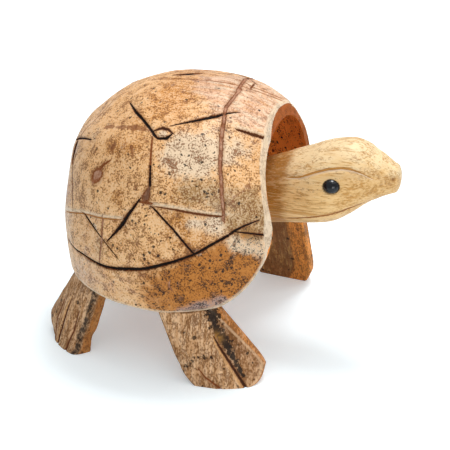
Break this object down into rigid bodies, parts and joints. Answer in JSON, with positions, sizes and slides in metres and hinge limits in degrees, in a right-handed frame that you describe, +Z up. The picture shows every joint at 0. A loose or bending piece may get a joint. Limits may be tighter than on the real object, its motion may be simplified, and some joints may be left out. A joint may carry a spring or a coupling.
{
  "type": "turtle figurine",
  "caption": "Carved wooden turtle ornament with a hollow faceted shell, splayed slab legs, and a counterweighted head that hangs inside the shell and nods at a touch",
  "frame": {"origin": "on the surface it stands on, under the middle of its length and width", "axes": "+X ahead, from tail to nose; +Y to the turtle's left; +Z up"},
  "size_m": [0.1117, 0.0889, 0.0844],
  "materials": {
    "shell_wood": "varnished tan wood with burnt dark grooves",
    "leg_wood": "varnished brown bark-like wood",
    "head_wood": "smooth pale honey wood, thin varnish",
    "peg_wood": "plain dowel",
    "eye_black": "glossy black bead",
    "wire": "dull drawn wire",
    "iron": "dark rough iron"
  },
  "bodies": {
    "shell": {"shell": "shell_wood", "leg_front_right": "leg_wood", "leg_front_left": "leg_wood", "leg_rear_right": "leg_wood", "leg_rear_left": "leg_wood", "peg_front_right": "peg_wood", "peg_front_left": "peg_wood", "peg_rear_right": "peg_wood", "peg_rear_left": "peg_wood", "roof_eye": "wire"},
    "link": {"hanger_link": "wire"},
    "head": {"head": "head_wood", "eye_right": "eye_black", "eye_left": "eye_black", "neck_eye": "wire", "counterweight": "iron"}
  },
  "joints": [
    {"name": "head_sway", "type": "hinge", "parent": "shell", "child": "link", "pos_m": [-0.0029, 0, 0.0721], "axis": [0, 0, 1], "range_deg": [-15, 15]},
    {"name": "head_nod", "type": "hinge", "parent": "link", "child": "head", "pos_m": [-0.0029, 0, 0.0623], "axis": [0, 1, 0], "range_deg": [-15, 18]}
  ]
}
